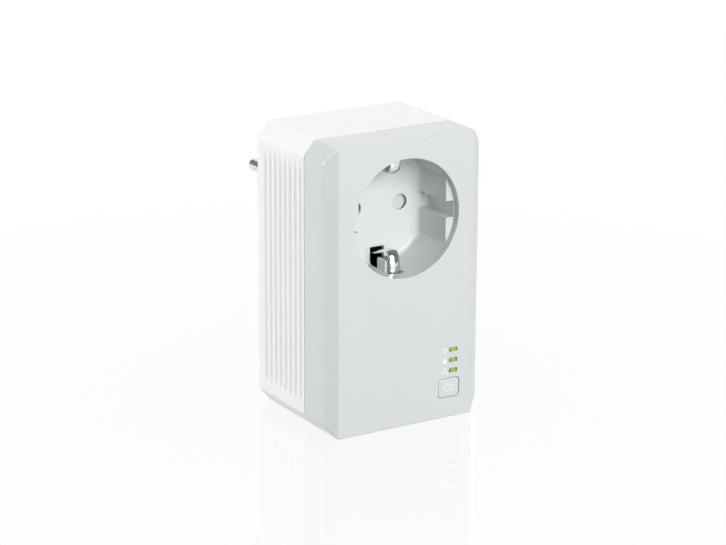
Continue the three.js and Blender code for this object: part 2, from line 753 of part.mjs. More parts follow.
function varistor(x, z) {
  const radius = 4.5;
  const disc = new THREE.CylinderGeometry(radius, radius, 3.4, ROUND);
  disc.rotateZ(Math.PI / 2);
  disc.translate(x, POWER_BOARD - GAP - radius - 0.1, z);
  return disc;
}

function fuse(x, z) {
  const radius = 1.9;
  const barrel = new THREE.CylinderGeometry(radius, radius, 10.5, ROUND);
  barrel.rotateX(Math.PI / 2);
  barrel.translate(x, POWER_BOARD - GAP - radius - 0.3, z);
  return barrel;
}

// A flat ribbon of wires that links the two boards.
function boardRibbon() {
  const near = MODEM_BOARD + BOARD_THICKNESS + GAP;
  const far = POWER_BOARD - GAP;
  const middle = (near + far) / 2;
  const points = [[near, 46.5], [near + 4, 46.5], [middle, 44], [far - 4, 46.5], [far, 46.5]];
  const route = smoothRoute(points, 14);
  return acrossWidth(stripOutline(route, 0.9), -5, 5);
}

// ---------------------------------------------------------------- assembly

const FINISHES = {
  coverPlastic: [0xe1e5e5, 0.22, 0],
  housingPlastic: [0xf4f4f2, 0.5, 0],
  innerPlastic: [0xe8ebec, 0.5, 0],
  whitePlastic: [0xf2f2ef, 0.5, 0],
  darkPlastic: [0x222426, 0.5, 0],
  greenLight: [0x96be3c, 0.3, 0],
  clearLed: [0xdfe8c8, 0.3, 0],
  nickel: [0xc9c9c6, 0.25, 1],
  copper: [0xb87a4b, 0.35, 1],
  brass: [0xc8a552, 0.35, 1],
  steel: [0x9fa2a5, 0.35, 1],
  ferrite: [0x3a3b3d, 0.7, 0],
  boardGreen: [0x1f6b3a, 0.5, 0],
  aluminium: [0xb9bcc0, 0.4, 1],
  capSleeve: [0x27303f, 0.4, 0],
  yellowBox: [0xd9b63a, 0.45, 0],
  windingTape: [0xd8a53e, 0.5, 0],
  blueCoat: [0x2b57a5, 0.45, 0],
  glass: [0xd8e2e0, 0.1, 0],
  ribbonGrey: [0xa9acae, 0.55, 0],
};

const adapter = new THREE.Group();
adapter.position.y = -TOTAL_DEPTH / 2;

function add(name, geometry, finish) {
  const [color, roughness, metalness] = FINISHES[finish];
  const material = new THREE.MeshStandardMaterial({ color, roughness, metalness });
  const mesh = new THREE.Mesh(geometry, material);
  mesh.name = name;
  adapter.add(mesh);
}

function addHousing() {
  add('front_cover', frontCover(), 'coverPlastic');
  add('rear_housing', rearHousing(), 'housingPlastic');
  atCaseScrews(caseScrew).forEach((screw, i) => add(`case_screw_${i + 1}`, screw, 'steel'));
}

function addSocket() {
  add('socket_well', socketWell(), 'coverPlastic');
  add('socket_shutter', shutter(), 'innerPlastic');
  add('shutter_spring', shutterSpring(), 'steel');
  add('contact_carrier', contactCarrier(), 'whitePlastic');
  for (const [name, side] of Object.entries(SIDES)) {
    add(`contact_sleeve_${name}`, contactSleeve(side), 'brass');
    add(`line_bar_${name}`, lineBar(side), 'copper');
    add(`noise_core_${name}`, noiseCore(side), 'ferrite');
  }
  for (const [name, end] of Object.entries(ENDS)) {
    add(`socket_earth_clip_${name}`, socketEarthClip(end), 'nickel');
  }
  add('earth_bar', earthBar(), 'brass');
}

function addPlug() {
  add('plug_body', plugBody(), 'housingPlastic');
  for (const [name, side] of Object.entries(SIDES)) {
    add(`plug_pin_${name}`, plugPin(side), 'nickel');
  }
  for (const [name, end] of Object.entries(ENDS)) {
    add(`plug_earth_strip_${name}`, plugEarthStrip(end), 'nickel');
  }
}

function addControls() {
  add('pair_button', pairButton(), 'coverPlastic');
  add('tact_switch', tactSwitch(), 'darkPlastic');
  add('switch_plunger', switchPlunger(), 'whitePlastic');
  LIGHT_NAMES.forEach((name, i) => {
    add(`light_guide_${name}`, lightGuide(i), 'greenLight');
    add(`status_led_${name}`, statusLed(i), 'clearLed');
  });
}

function addModemBoard() {
  add('modem_board', board(MODEM_BOARD, MODEM_SCREWS), 'boardGreen');
  add('powerline_chip', onModemBoard(-10, 36, 12, 12, 1.4), 'darkPlastic');
  add('heat_sink', heatSink(-10, 36), 'aluminium');
  add('ethernet_chip', onModemBoard(5, 34, 7, 7, 1.1), 'darkPlastic');
  add('memory_chip', onModemBoard(16, 34, 6, 5, 1.2), 'darkPlastic');
  add('crystal', crystal(15.5, 26), 'steel');
  add('coupling_transformer', onModemBoard(14.5, 42.5, 10, 8, 7), 'ferrite');
  add('ethernet_magnetics', onModemBoard(0, 24, 14, 7.5, 5.4), 'darkPlastic');
  add('jack_shield', jackShield(), 'nickel');
  add('ethernet_jack', jackBody(), 'darkPlastic');
  add('jack_contacts', jackContacts(), 'brass');
  MODEM_SCREWS.forEach(([x, z], i) => {
    const screw = boardScrew(x, z, MODEM_BOARD + BOARD_THICKNESS + GAP, 9);
    add(`modem_board_screw_${i + 1}`, screw, 'steel');
  });
}

function addPowerBoard() {
  add('power_board', board(POWER_BOARD, POWER_SCREWS), 'boardGreen');
  add('power_transformer', powerTransformer(-10.4, 33), 'windingTape');
  add('bulk_capacitor_1', bulkCapacitor(16, 27.5), 'capSleeve');
  add('bulk_capacitor_2', bulkCapacitor(6.5, 27.5), 'capSleeve');
  add('x_capacitor', onPowerBoard(13, 11.5, 15, 6, 9.5), 'yellowBox');
  add('filter_choke', filterChoke(-12, 15.5), 'ferrite');
  add('varistor', varistor(-20.4, 26), 'blueCoat');
  add('fuse', fuse(0, 10.5), 'glass');
  add('rectifier', onPowerBoard(12, 40.5, 8, 6.5, 2.6), 'darkPlastic');
  add('power_chip', onPowerBoard(1, 41, 5, 4.5, 1.8), 'darkPlastic');
  add('board_ribbon', boardRibbon(), 'ribbonGrey');
  POWER_SCREWS.forEach(([x, z], i) => {
    const screw = boardScrew(x, z, POWER_BOARD - GAP - BOARD_HEAD_DEPTH, 47.6);
    add(`power_board_screw_${i + 1}`, screw, 'steel');
  });
}

addHousing();
addSocket();
addPlug();
addControls();
addModemBoard();
addPowerBoard();

export default adapter;
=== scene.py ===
import math

import bmesh
import bpy
from mathutils import Matrix, Vector


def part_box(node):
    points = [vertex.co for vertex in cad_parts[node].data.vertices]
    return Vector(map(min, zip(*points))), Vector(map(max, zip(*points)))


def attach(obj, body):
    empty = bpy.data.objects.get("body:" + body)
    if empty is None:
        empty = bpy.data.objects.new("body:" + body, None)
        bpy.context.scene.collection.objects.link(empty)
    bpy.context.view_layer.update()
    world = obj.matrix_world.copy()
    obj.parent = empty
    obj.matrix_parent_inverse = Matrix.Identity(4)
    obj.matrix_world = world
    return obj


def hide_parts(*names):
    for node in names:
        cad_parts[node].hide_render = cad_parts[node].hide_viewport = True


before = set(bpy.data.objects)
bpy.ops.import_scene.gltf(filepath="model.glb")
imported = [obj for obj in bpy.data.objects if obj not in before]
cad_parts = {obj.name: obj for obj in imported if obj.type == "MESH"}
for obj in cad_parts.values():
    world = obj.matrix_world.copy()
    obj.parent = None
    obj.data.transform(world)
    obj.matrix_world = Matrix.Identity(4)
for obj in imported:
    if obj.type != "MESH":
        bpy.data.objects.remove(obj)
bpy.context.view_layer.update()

MM = 0.001
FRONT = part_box("front_cover")[0].y


def span(node):
    """A CAD node's extent in millimetres along x, depth and height."""
    low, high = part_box(node)
    start = (0, FRONT, 0)
    return [((low[i] - start[i]) / MM, (high[i] - start[i]) / MM) for i in range(3)]


def middle(pair):
    return (pair[0] + pair[1]) / 2


COVER_DEPTHS = span("front_cover")[1]
HOUSING_X, HOUSING_DEPTHS, HOUSING_Z = span("rear_housing")
WELL_X, WELL_DEPTHS, WELL_Z = span("socket_well")
PLUG_X, PLUG_DEPTHS, _ = span("plug_body")
PIN_X, PIN_DEPTHS, _ = span("plug_pin_right")
BUTTON_DEPTHS = span("pair_button")[1]
TONGUE = 1.8
GAP = 0.3
WIDTH = HOUSING_X[1] - HOUSING_X[0]
HEIGHT = HOUSING_Z[1]
SEAM = COVER_DEPTHS[1] - TONGUE
BODY_DEPTH = 49.5
PLINTH_FACE = HOUSING_DEPTHS[1]
AXIS_Z = middle(WELL_Z)
PIN_OFFSET = middle(PIN_X)
PIN_RADIUS = (PIN_X[1] - PIN_X[0]) / 2

# Housing details
SETBACK = 0.06
WALL = 2.2
CORNER_WIDTH = 4.4
CORNER_HEIGHT = 5.2
PLINTH_CORNER = 5.2
BEVEL_WIDTH = 4.4
BEVEL_DEPTH = 3.5
FACE_EDGE = 0.45
BEVEL_FRONT_ROUND = 0.9
BEVEL_SIDE_ROUND = 1.3
TOP_ROUND = 1.0
SIDE_ROUND = 2.6
FLUTES = 8
FLUTE_PITCH = 3.5
FLUTE_FIRST = SEAM + 0.7 * FLUTE_PITCH
FLUTE_DEPTH = 0.6
FLUTE_END = 7.5
FLUTE_FADE = 4.5
PLINTH_HALF = 22
CASE_SCREW_X = 26.2
CASE_SCREW_Z = 8.6
CASE_SEAT = 24
POST_RADIUS = 2.7
BORE_RADIUS = 1.55
TUBE_RADIUS = 3.4
SHANK_RADIUS = 1.7
HEAD_RADIUS = 2.8
JACK_LIP = 0.9

# Socket details
WELL_RADIUS = 21.5
WELL_FLOOR = 20
LEDGE = 3
LEDGE_FLAT = 17.9
FLOOR_FLAT = 17.5
CLIP_HALF = 2.2
CLIP_WINDOW_HALF = 2.9
CLIP_WINDOW_NEAR = 6.2
CLIP_SLOT_INNER = 15
SADDLE_NEAR = 9.6
SADDLE_FAR = 15
SADDLE_REACH = 17.3
FLOOR_THICKNESS = 1.6
FLOOR_BACK = WELL_FLOOR + FLOOR_THICKNESS
KEY_HALF = 3
KEY_REACH = 21.2
PIN_HOLE = 2.9
BOSS_RADIUS = 18.5
BOSS_FLAT = 16.9
BOSS_RIB = 2.7

# Button and lights
BUTTON_X = 18.3
BUTTON_Z = 11.1
BUTTON_SIZE = (8.5, 6.9)
LIGHTS = ("power", "powerline", "ethernet")
SYMBOL_X = 16.4
LIGHT_PLAY = 0.16
BUTTON_PLAY = 0.36
BUTTON_CORNER = 1.2
BUTTON_CROWN = 0.12
PRINT_HEIGHT = 0.05

ROUND = 96
ARC_STEPS = 5


# ------------------------------------------------------------------ outlines, as lists of (x, z)

def place(point):
    """Millimetres to the frame's metres."""
    return Vector((point[0] * MM, FRONT + point[1] * MM, point[2] * MM))


def arc(centre, radius, start, end, steps):
    angles = [start + (end - start) * i / steps for i in range(steps + 1)]
    return [(centre[0] + radius * math.cos(a), centre[1] + radius * math.sin(a)) for a in angles]


def rounded(corners, steps=ARC_STEPS):
    """A closed outline from (x, z, radius): each corner with a radius becomes an arc."""
    points = []
    for i, (x, z, radius) in enumerate(corners):
        if radius == 0:
            points.append((x, z))
            continue
        corner = Vector((x, z))
        back = Vector(corners[i - 1][:2]) - corner
        ahead = Vector(corners[(i + 1) % len(corners)][:2]) - corner
        half = back.angle(ahead) / 2
        reach = min(radius / math.tan(half), 0.49 * back.length, 0.49 * ahead.length)
        true_radius = reach * math.tan(half)
        toward = (back.normalized() + ahead.normalized()).normalized()
        centre = corner + toward * true_radius / math.sin(half)
        first = corner + back.normalized() * reach - centre
        last = corner + ahead.normalized() * reach - centre
        start = math.atan2(first.y, first.x)
        turn = (math.atan2(last.y, last.x) - start + math.pi) % (2 * math.pi) - math.pi
        points += arc(centre, true_radius, start, start + turn, steps)
    return points


def circle(radius, x=0, z=AXIS_Z, sides=ROUND):
    return arc((x, z), radius, 0, 2 * math.pi * (sides - 1) / sides, sides - 1)


def rectangle(x, z, width, height, radius):
    right = x + width / 2
    top = z + height / 2
    left = x - width / 2
    bottom = z - height / 2
    corners = ((right, top), (left, top), (left, bottom), (right, bottom))
    return rounded([(a, b, radius) for a, b in corners])


def grown(x, z, width, height, corner):
    """A rounded rectangle, as a function of how far it grows."""
    return lambda grow: rectangle(x, z, width + 2 * grow, height + 2 * grow, corner + grow)


def body_outline(inset=0, side=None, groove=None, heights=()):
    """The body's section with its corners cut. Bevels limit its side, and flutes groove it."""
    side = WIDTH / 2 - inset if side is None else side
    high = HEIGHT - inset
    across = Vector((CORNER_HEIGHT, CORNER_WIDTH)).normalized()
    reach = across.dot(Vector((WIDTH / 2, HEIGHT - CORNER_HEIGHT))) - inset
    top = (min((reach - across.y * high) / across.x, side - 0.05), high)
    corner = (side, min((reach - across.x * side) / across.y, high - 0.05))
    turns = [(0, high, 0), (*top, TOP_ROUND), (*corner, SIDE_ROUND), (side, HEIGHT / 2, 0)]
    quarter = rounded(turns)[1:-1]
    flank = [(side - groove(z), z) for z in heights]
    right = quarter + flank + [(x, HEIGHT - z) for x, z in reversed(quarter)]
    return right + [(-x, z) for x, z in reversed(right)]


def flat_sided(radius, flat, reach, half, steps):
    """A circle round the socket's axis with flat sides, and a step out to the reach in each flat."""
    edge = math.acos(flat / radius)
    upper = arc((0, 0), radius, edge, math.pi - edge, steps)
    side = [(-flat, half, 0.3), (-reach, half, 0.3), (-reach, -half, 0.3), (-flat, -half, 0.3)]
    lower = [(-x, -z) for x, z in upper]
    corners = [(x, z, 0) for x, z in upper] + side + [(x, z, 0) for x, z in lower]
    corners += [(-x, -z, r) for x, z, r in side]
    return rounded([(x, AXIS_Z + z, r) for x, z, r in corners], 3)


def at_depth(outline, depth):
    return [(x, depth, z) for x, z in outline]


def quarter_round(radius, steps=ARC_STEPS):
    """Pairs of (how far in, how far along) for an edge of that radius."""
    angles = [math.pi / 2 * i / steps for i in range(steps + 1)]
    return [(radius * (1 - math.sin(a)), radius * (1 - math.cos(a))) for a in angles]


# ------------------------------------------------------------------ solids

def new_piece(name, mesh):
    piece = bpy.data.objects.new(name, mesh)
    bpy.context.scene.collection.objects.link(piece)
    return piece


def to_piece(name, shape):
    bmesh.ops.recalc_face_normals(shape, faces=shape.faces)
    mesh = bpy.data.meshes.new(name)
    shape.to_mesh(mesh)
    shape.free()
    return new_piece(name, mesh)


def loft(name, rings):
    """A skin over equal rings of points, capped at both ends."""
    shape = bmesh.new()
    loops = [[shape.verts.new(place(p)) for p in ring] for ring in rings]
    for near, far in zip(loops, loops[1:]):
        for i in range(len(near)):
            j = (i + 1) % len(near)
            shape.faces.new((near[i], near[j], far[j], far[i]))
    shape.faces.new(loops[0])
    shape.faces.new(loops[-1])
    return to_piece(name, shape)


def prism(name, outline, near, far, edge=0.0):
    """Makes a solid between two depths. The outline is a function of how far it shrinks."""
    steps = quarter_round(edge) if edge else [(0, 0)]
    front = [at_depth(outline(shrink), near + along) for shrink, along in steps]
    back = [at_depth(outline(shrink), far - along) for shrink, along in reversed(steps)]
    return loft(name, front + back)


def turned(name, profile, x=0, sides=ROUND):
    """A solid turned about a line through the socket's height, from pairs of (radius, depth)."""
    return loft(name, [at_depth(circle(radius, x, sides=sides), depth) for radius, depth in profile])


def rod_profile(radius, near, far, edge=0.0):
    steps = quarter_round(edge) if edge else [(0, 0)]
    front = [(radius - shrink, near + along) for shrink, along in steps]
    return front + [(radius - shrink, far - along) for shrink, along in reversed(steps)]


def rod(name, radius, near, far, x=0, z=AXIS_Z, edge=0.0, sides=ROUND):
    profile = rod_profile(radius, near, far, edge)
    return loft(name, [at_depth(circle(r, x, z, sides), depth) for r, depth in profile])


def block(name, xs, depths, zs, edge=0.0):
    """A box between the given limits, its edges rounded."""
    shape = bmesh.new()
    bmesh.ops.create_cube(shape, size=1)
    for vertex in shape.verts:
        share = [c + 0.5 for c in vertex.co]
        point = [low + (high - low) * t for (low, high), t in zip((xs, depths, zs), share)]
        vertex.co = place(point)
    if edge:
        bmesh.ops.bevel(
            shape, geom=shape.edges[:], offset=edge * MM, segments=3, profile=0.5, affect="EDGES",
        )
    return to_piece(name, shape)


def spline_value(t, before, start, end, after):
    """A Catmull-Rom curve between two values, with one more value known on each side."""
    square = 2 * before - 5 * start + 4 * end - after
    cube = 3 * start - before - 3 * end + after
    return 0.5 * (2 * start + (end - before) * t + square * t ** 2 + cube * t ** 3)


def smooth_route(points, steps=8):
    """A Catmull-Rom curve through points in a plane."""
    padded = [points[0], *points, points[-1]]
    route = []
    for a, b, c, d in zip(padded, padded[1:], padded[2:], padded[3:]):
        for i in range(steps):
            t = i / steps
            route.append(tuple(spline_value(t, *values) for values in zip(a, b, c, d)))
    return route + [tuple(points[-1])]


def strip(name, points, width, thickness, crown=0.0, pieces=10):
    """Flat metal bent along a route in depth and height; a crown bows it across its width."""
    route = [Vector(p) for p in smooth_route(points)]
    half = thickness / 2
    flat = width / 2 - half
    section = [(flat - 2 * flat * i / pieces, half) for i in range(pieces + 1)]
    section += arc((-flat, 0), half, math.pi / 2, 3 * math.pi / 2, 6)[1:-1]
    section += [(-across, -off) for across, off in section]
    rings = []
    for i, point in enumerate(route):
        along = (route[min(i + 1, len(route) - 1)] - route[max(i - 1, 0)]).normalized()
        normal = Vector((-along.y, along.x))
        ring = []
        for across, off in section:
            spot = point + normal * (off - crown * (2 * across / width) ** 2)
            ring.append((across, spot.x, spot.y))
        rings.append(ring)
    return loft(name, rings)


def applied(piece):
    """The piece with its modifiers made part of its mesh."""
    graph = bpy.context.evaluated_depsgraph_get()
    mesh = bpy.data.meshes.new_from_object(piece.evaluated_get(graph))
    piece.modifiers.clear()
    piece.data = mesh
    return piece


def combine(piece, operation, tools):
    for tool in tools:
        modifier = piece.modifiers.new("combine", "BOOLEAN")
        modifier.operation = operation
        modifier.solver = "EXACT"
        modifier.object = tool
        applied(piece)
        bpy.data.objects.remove(tool)
    return piece


def carve(piece, *tools):
    return combine(piece, "DIFFERENCE", tools)


def weld(piece, *others):
    return combine(piece, "UNION", others)


def opening(name, outline, near, far, flare):
    """A tool that cuts an opening with a rounded rim. Its outline is a function of how far it grows."""
    rings = [at_depth(outline(flare), near - 1)]
    rings += [at_depth(outline(grow), near + along) for grow, along in quarter_round(flare)]
    rings.append(at_depth(outline(0), far))
    return loft(name, rings)


# ------------------------------------------------------------------ materials

def material(name, color, roughness, metallic=0.0, **sockets):
    made = bpy.data.materials.new(name)
    made.use_nodes = True
    shader = made.node_tree.nodes["Principled BSDF"]
    shader.inputs["Base Color"].default_value = (*color, 1)
    shader.inputs["Roughness"].default_value = roughness
    shader.inputs["Metallic"].default_value = metallic
    for socket, value in sockets.items():
        shader.inputs[socket.replace("_", " ")].default_value = value
    return made


def noise(made, size, detail=3.0, stretch=(1, 1, 1)):
    """Noise with features of that size in millimetres, in the frame's own space."""
    nodes = made.node_tree.nodes
    links = made.node_tree.links
    coordinates = nodes.new("ShaderNodeTexCoord")
    mapping = nodes.new("ShaderNodeMapping")
    mapping.inputs["Scale"].default_value = [s / (size * MM) for s in stretch]
    texture = nodes.new("ShaderNodeTexNoise")
    texture.inputs["Scale"].default_value = 1
    texture.inputs["Detail"].default_value = detail
    links.new(coordinates.outputs["Object"], mapping.inputs["Vector"])
    links.new(mapping.outputs["Vector"], texture.inputs["Vector"])
    return texture.outputs["Fac"]


def spread(made, value, low, high):
    """A value from 0 to 1 taken to the range from low to high."""
    node = made.node_tree.nodes.new("ShaderNodeMapRange")
    node.inputs["From Min"].default_value = 0.3
    node.inputs["From Max"].default_value = 0.7
    node.inputs["To Min"].default_value = low
    node.inputs["To Max"].default_value = high
    made.node_tree.links.new(value, node.inputs["Value"])
    return node.outputs["Result"]


def tint(made, value, low, high):
    """The base colour goes from low to high with the value."""
    ramp = made.node_tree.nodes.new("ShaderNodeValToRGB")
    ramp.color_ramp.elements[0].position = 0.3
    ramp.color_ramp.elements[0].color = (*low, 1)
    ramp.color_ramp.elements[1].position = 0.7
    ramp.color_ramp.elements[1].color = (*high, 1)
    made.node_tree.links.new(value, ramp.inputs["Fac"])
    shader = made.node_tree.nodes["Principled BSDF"]
    made.node_tree.links.new(ramp.outputs["Color"], shader.inputs["Base Color"])


def relief(made, value, distance, strength=1.0):
    bump = made.node_tree.nodes.new("ShaderNodeBump")
    bump.inputs["Distance"].default_value = distance * MM
    bump.inputs["Strength"].default_value = strength
    made.node_tree.links.new(value, bump.inputs["Height"])
    shader = made.node_tree.nodes["Principled BSDF"]
    made.node_tree.links.new(bump.outputs["Normal"], shader.inputs["Normal"])


def roughen(made, value, low, high):
    shader = made.node_tree.nodes["Principled BSDF"]
    made.node_tree.links.new(spread(made, value, low, high), shader.inputs["Roughness"])


def moulded(name, color, roughness, grain=0.25, depth=0.004, shade=0.985):
    """Injection-moulded plastic: a fine grain, slow drifts of tone and slightly uneven gloss."""
    made = material(name, color, roughness)
    tint(made, noise(made, 18, 2), [c * shade for c in color], color)
    roughen(made, noise(made, 4, 4), 0.85 * roughness, 1.15 * roughness)
    relief(made, noise(made, grain, 2), depth)
    return made


def metal(name, color, roughness, stretch=(1, 1, 1), size=0.4, depth=0.002):
    """Plated or rolled metal: a drawn grain, small stains and uneven polish."""
    made = material(name, color, roughness, 1.0)
    tint(made, noise(made, 3, 4), [0.9 * c for c in color], color)
    roughen(made, noise(made, size, 4, stretch), 0.7 * roughness, 1.4 * roughness)
    relief(made, noise(made, size, 3, stretch), depth)
    return made


COVER = moulded("cover_gloss", (0.67, 0.695, 0.705), 0.2)
HOUSING = moulded("housing_satin", (0.865, 0.87, 0.875), 0.42, 0.3, 0.008)
WELL = moulded("well_gloss", (0.67, 0.695, 0.7), 0.35)
PLUG = moulded("plug_nylon", (0.84, 0.84, 0.82), 0.45, 0.3, 0.008)
BUTTON = moulded("button_gloss", (0.68, 0.7, 0.71), 0.2)
SHUTTER = moulded("shutter_nylon", (0.62, 0.64, 0.65), 0.45)
INNER = moulded("inner_moulding", (0.78, 0.78, 0.75), 0.5)
DARK = moulded("black_moulding", (0.02, 0.02, 0.022), 0.4)
PRINT = moulded("white_print", (0.93, 0.93, 0.92), 0.4, 0.08, 0.002)
NICKEL = metal("nickel_plate", (0.8, 0.79, 0.77), 0.16, (1, 0.1, 1))
BRASS = metal("rolled_brass", (0.75, 0.6, 0.3), 0.3, (1, 0.1, 1))
COPPER = metal("rolled_copper", (0.72, 0.45, 0.27), 0.32, (1, 0.1, 1))
STEEL = metal("zinc_plate", (0.55, 0.56, 0.57), 0.32, (1, 1, 1), 0.2)
SPRING = metal("spring_wire", (0.62, 0.63, 0.64), 0.25, (1, 1, 1), 0.2)
ALUMINIUM = metal("extruded_aluminium", (0.7, 0.71, 0.73), 0.35, (1, 1, 0.05), 0.3)
FERRITE = moulded("sintered_ferrite", (0.05, 0.05, 0.055), 0.65, 0.15, 0.02, 0.8)
LAMINATE = moulded("solder_mask", (0.03, 0.17, 0.07), 0.35, 0.6, 0.01, 0.8)
EPOXY = moulded("chip_epoxy", (0.025, 0.025, 0.028), 0.55, 0.12, 0.01, 0.8)
SLEEVE = moulded("capacitor_sleeve", (0.02, 0.03, 0.07), 0.25, 0.8, 0.004, 0.8)
YELLOW = moulded("capacitor_box", (0.65, 0.46, 0.06), 0.4, 0.3, 0.006, 0.93)
TAPE = moulded("winding_tape", (0.68, 0.42, 0.08), 0.3, 0.8, 0.01, 0.9)
BLUE = moulded("blue_epoxy", (0.02, 0.07, 0.32), 0.3, 1.0, 0.02, 0.85)
RIBBON = moulded("ribbon_jacket", (0.3, 0.31, 0.32), 0.5, 0.3, 0.006, 0.9)


def clear_plastic(name, color, roughness):
    made = material(name, color, roughness, Transmission_Weight=0.9, IOR=1.49)
    tint(made, noise(made, 2, 2), [0.95 * c for c in color], color)
    roughen(made, noise(made, 0.5, 3), 0.8 * roughness, 1.3 * roughness)
    return made


GLASS = clear_plastic("fuse_glass", (0.9, 0.94, 0.93), 0.05)
LED = clear_plastic("led_lens", (0.82, 0.88, 0.72), 0.15)


def lit_acrylic(name, centre_x):
    """A light guide lit from behind: bright in its middle, darker towards its ends."""
    made = material(name, (0.2, 0.36, 0.04), 0.22)
    nodes = made.node_tree.nodes
    links = made.node_tree.links
    coordinates = nodes.new("ShaderNodeTexCoord")
    split = nodes.new("ShaderNodeSeparateXYZ")
    offset = nodes.new("ShaderNodeMath")
    offset.operation = "SUBTRACT"
    offset.inputs[1].default_value = centre_x * MM
    distance = nodes.new("ShaderNodeMath")
    distance.operation = "ABSOLUTE"
    fall = nodes.new("ShaderNodeMapRange")
    fall.interpolation_type = "SMOOTHSTEP"
    fall.inputs["From Min"].default_value = 0.4 * MM
    fall.inputs["From Max"].default_value = 1.9 * MM
    ramp = nodes.new("ShaderNodeValToRGB")
    ramp.color_ramp.elements[0].color = (0.28, 0.47, 0.05, 1)
    ramp.color_ramp.elements[1].color = (0.1, 0.15, 0.025, 1)
    shader = nodes["Principled BSDF"]
    links.new(coordinates.outputs["Object"], split.inputs["Vector"])
    links.new(split.outputs["X"], offset.inputs[0])
    links.new(offset.outputs["Value"], distance.inputs[0])
    links.new(distance.outputs["Value"], fall.inputs["Value"])
    links.new(fall.outputs["Result"], ramp.inputs["Fac"])
    links.new(ramp.outputs["Color"], shader.inputs["Base Color"])
    links.new(ramp.outputs["Color"], shader.inputs["Emission Color"])
    shader.inputs["Emission Strength"].default_value = 0.12
    return made


def dress(piece, body, slot, look, *nodes, angle=35):
    """Shades a piece, gives it its finish and its body, and hides the CAD nodes it stands for."""
    piece.data.materials.clear()
    piece.data.materials.append(look)
    piece.data.shade_smooth()
    piece.data.set_sharp_from_angle(angle=math.radians(angle))
    weighted = piece.modifiers.new("weighted", "WEIGHTED_NORMAL")
    weighted.keep_sharp = True
    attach(piece, body)
    if nodes:
        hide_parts(*nodes)
    return piece


# ------------------------------------------------------------------ front cover

def bevel_side(depth):
    """Half the cover's width at a depth: the side bevel, rounded at the face and at the side."""
    slope = math.atan2(BEVEL_DEPTH, BEVEL_WIDTH)
    full = WIDTH / 2
    start = full - BEVEL_WIDTH
    front_reach = BEVEL_FRONT_ROUND * math.tan(slope / 2)
    if depth < BEVEL_FRONT_ROUND * (1 - math.cos(slope)):
        fall = BEVEL_FRONT_ROUND - depth
        return start - front_reach + math.sqrt(BEVEL_FRONT_ROUND ** 2 - fall ** 2)
    side_reach = BEVEL_SIDE_ROUND * math.tan((math.pi / 2 - slope) / 2)
    centre = BEVEL_DEPTH + side_reach
    if depth >= centre:
        return full
    if depth > BEVEL_DEPTH - side_reach * math.sin(slope):
        return full - BEVEL_SIDE_ROUND + math.sqrt(BEVEL_SIDE_ROUND ** 2 - (centre - depth) ** 2)
    return start + BEVEL_WIDTH * depth / BEVEL_DEPTH


def cover_skin():
    inner_slant = WALL * math.hypot(BEVEL_WIDTH, BEVEL_DEPTH) / BEVEL_DEPTH
    inner_side = WIDTH / 2 - BEVEL_WIDTH + WALL * BEVEL_WIDTH / BEVEL_DEPTH - inner_slant
    inner_full = WALL + (WIDTH / 2 - WALL - inner_side) * BEVEL_DEPTH / BEVEL_WIDTH
    tongue_inset = 1.35
    rings = [
        at_depth(body_outline(WALL, inner_side), WALL),
        at_depth(body_outline(WALL), inner_full),
        at_depth(body_outline(WALL), SEAM + TONGUE),
        at_depth(body_outline(tongue_inset), SEAM + TONGUE),
        at_depth(body_outline(tongue_inset), SEAM),
    ]
    seam_edge = 0.3
    for shrink, along in quarter_round(seam_edge, 3):
        rings.append(at_depth(body_outline(shrink), SEAM - along))
    steps = 10
    bevel_end = BEVEL_DEPTH + BEVEL_SIDE_ROUND
    face_edge = quarter_round(FACE_EDGE, 4)
    depths = [FACE_EDGE + (bevel_end - FACE_EDGE) * i / steps for i in range(steps, 0, -1)]
    for depth in depths:
        rings.append(at_depth(body_outline(0, bevel_side(depth)), SETBACK + depth))
    for shrink, depth in reversed(face_edge):
        rings.append(at_depth(body_outline(shrink, bevel_side(depth)), SETBACK + depth))
    return loft("front_cover_shell", rings)


def case_screws():
    heights = (CASE_SCREW_Z, HEIGHT - CASE_SCREW_Z)
    return [(side * CASE_SCREW_X, z) for side in (-1, 1) for z in heights]


def light_place(name):
    x, _, z = span("light_guide_" + name)
    return middle(x), middle(z), x[1] - x[0], z[1] - z[0]


def front_cover():
    cover = cover_skin()
    screws = case_screws()
    weld(cover, *[rod("post", POST_RADIUS, WALL / 2, SEAM, x, z, sides=32) for x, z in screws])
    bores = [rod("bore", BORE_RADIUS, 6, SEAM + 1, x, z, sides=32) for x, z in screws]
    back = WALL + 1
    slots = []
    for name in LIGHTS:
        x, z, width, height = light_place(name)
        outline = grown(x, z, width + LIGHT_PLAY, height + LIGHT_PLAY, 0.5)
        slots.append(opening("slot", outline, SETBACK, back, 0.12))
    width, height = BUTTON_SIZE
    outline = grown(BUTTON_X, BUTTON_Z, width + BUTTON_PLAY, height + BUTTON_PLAY, 1.4)
    hole = opening("hole", outline, SETBACK, back, 0.25)
    mouth = opening("mouth", lambda grow: circle(WELL_RADIUS + grow, sides=128), SETBACK, back, 0.18)
    carve(cover, mouth, hole, *slots, *bores)
    dress(cover, "root", "cover_plastic", COVER, "front_cover")


# ------------------------------------------------------------------ rear housing

def flute_depth(depth):
    """How deep the wave of flutes is at a distance behind the front face."""
    start = FLUTE_FIRST - FLUTE_PITCH / 2
    turns = (depth - start) / FLUTE_PITCH
    if not 0 < turns < FLUTES:
        return 0.0
    return FLUTE_DEPTH * ((1 - math.cos(2 * math.pi * turns)) / 2) ** 1.5


def flute_share(z):
    """The flutes fade out towards both ends of the body."""
    inside = min(z, HEIGHT - z) - FLUTE_END
    share = min(max(inside / FLUTE_FADE, 0), 1)
    return share * share * (3 - 2 * share)


